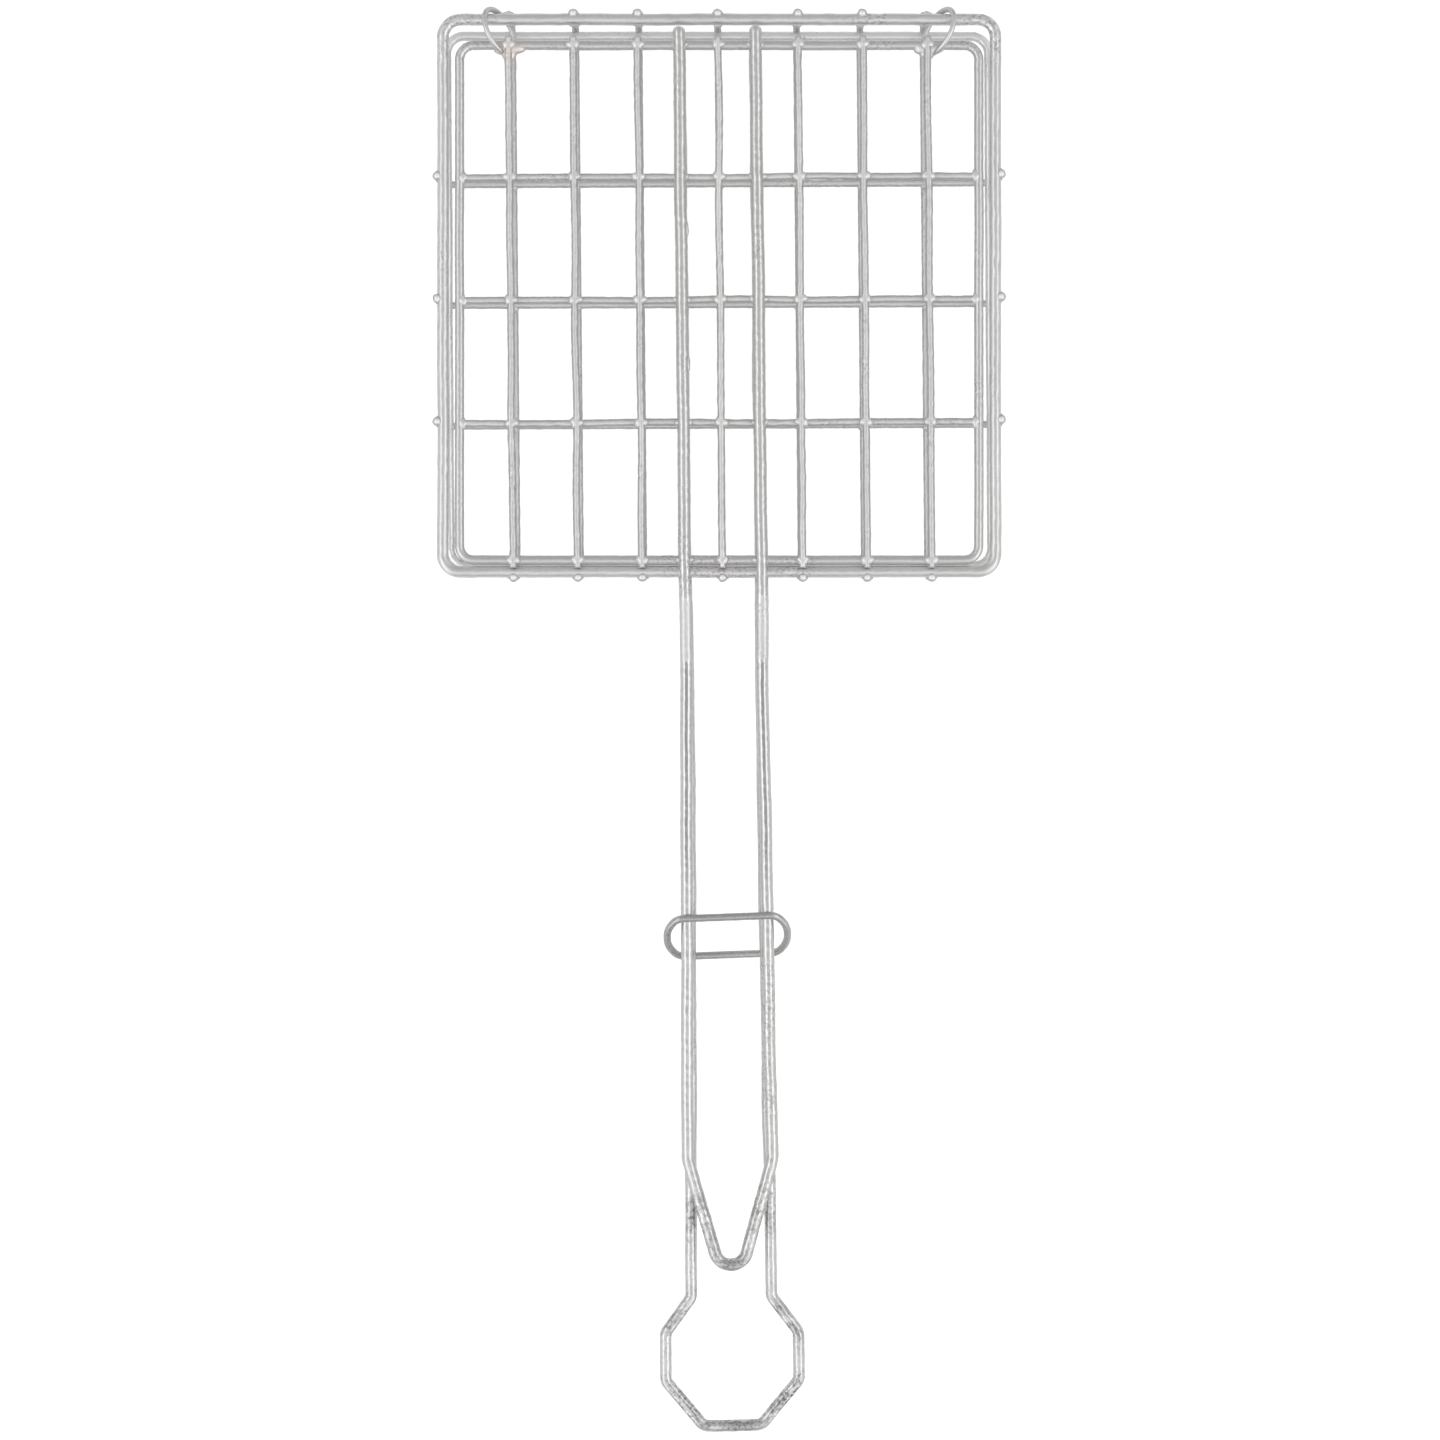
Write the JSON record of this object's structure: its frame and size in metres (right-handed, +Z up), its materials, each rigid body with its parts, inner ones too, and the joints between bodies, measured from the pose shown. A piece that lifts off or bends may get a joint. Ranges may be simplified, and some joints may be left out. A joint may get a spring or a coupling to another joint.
{
  "type": "sandwich grill grid",
  "caption": "Hinged double wire grid for grilling sandwiches: a shallow welded basket, a lid that nests in its rim, two long wire handles and a sliding oval clip.",
  "frame": {"origin": "middle of the whole length and width, on the plane that the grid rests on", "axes": "+Y towards the hinge side, -Y along the handles to the hanging loop, +X to the right seen from above, +Z up through the lid"},
  "size_m": [0.2444, 0.6081, 0.0384],
  "materials": {
    "frame_wire": "bright plated steel wire, soft drawn sheen, slightly dulled",
    "mesh_wire": "bright plated steel wire with small weld marks",
    "handle_wire": "bright plated steel wire, smooth from handling",
    "hinge_wire": "plated wire with a warm heat tint",
    "clip_wire": "duller grey plated wire, rubbed where it slides"
  },
  "bodies": {
    "basket": {"rim_ring": "frame_wire", "bottom_ring": "frame_wire", "basket_long_wire_1": "mesh_wire", "basket_long_wire_2": "mesh_wire", "basket_long_wire_3": "mesh_wire", "basket_long_wire_4": "mesh_wire", "basket_long_wire_5": "mesh_wire", "basket_long_wire_6": "mesh_wire", "basket_long_wire_7": "mesh_wire", "basket_cross_wire_1": "mesh_wire", "basket_cross_wire_2": "mesh_wire", "basket_cross_wire_3": "mesh_wire", "basket_handle": "handle_wire"},
    "lid": {"lid_ring": "frame_wire", "lid_long_wire_1": "mesh_wire", "lid_long_wire_2": "mesh_wire", "lid_long_wire_3": "mesh_wire", "lid_long_wire_4": "mesh_wire", "lid_long_wire_5": "mesh_wire", "lid_long_wire_6": "mesh_wire", "lid_long_wire_7": "mesh_wire", "lid_cross_wire_1": "mesh_wire", "lid_cross_wire_2": "mesh_wire", "lid_cross_wire_3": "mesh_wire", "lid_handle": "handle_wire", "hinge_ring_left": "hinge_wire", "hinge_ring_right": "hinge_wire"},
    "clip": {"slide_clip": "clip_wire"}
  },
  "joints": [
    {"name": "lid_open", "type": "hinge", "parent": "basket", "child": "lid", "pos_m": [0, 0.2988, 0.03], "axis": [-1, 0, 0], "range_deg": [0, 180]},
    {"name": "clip_slide", "type": "slide", "parent": "basket", "child": "clip", "axis": [0.0113, -0.9999, 0], "range_m": [-0.1, 0.154]}
  ]
}
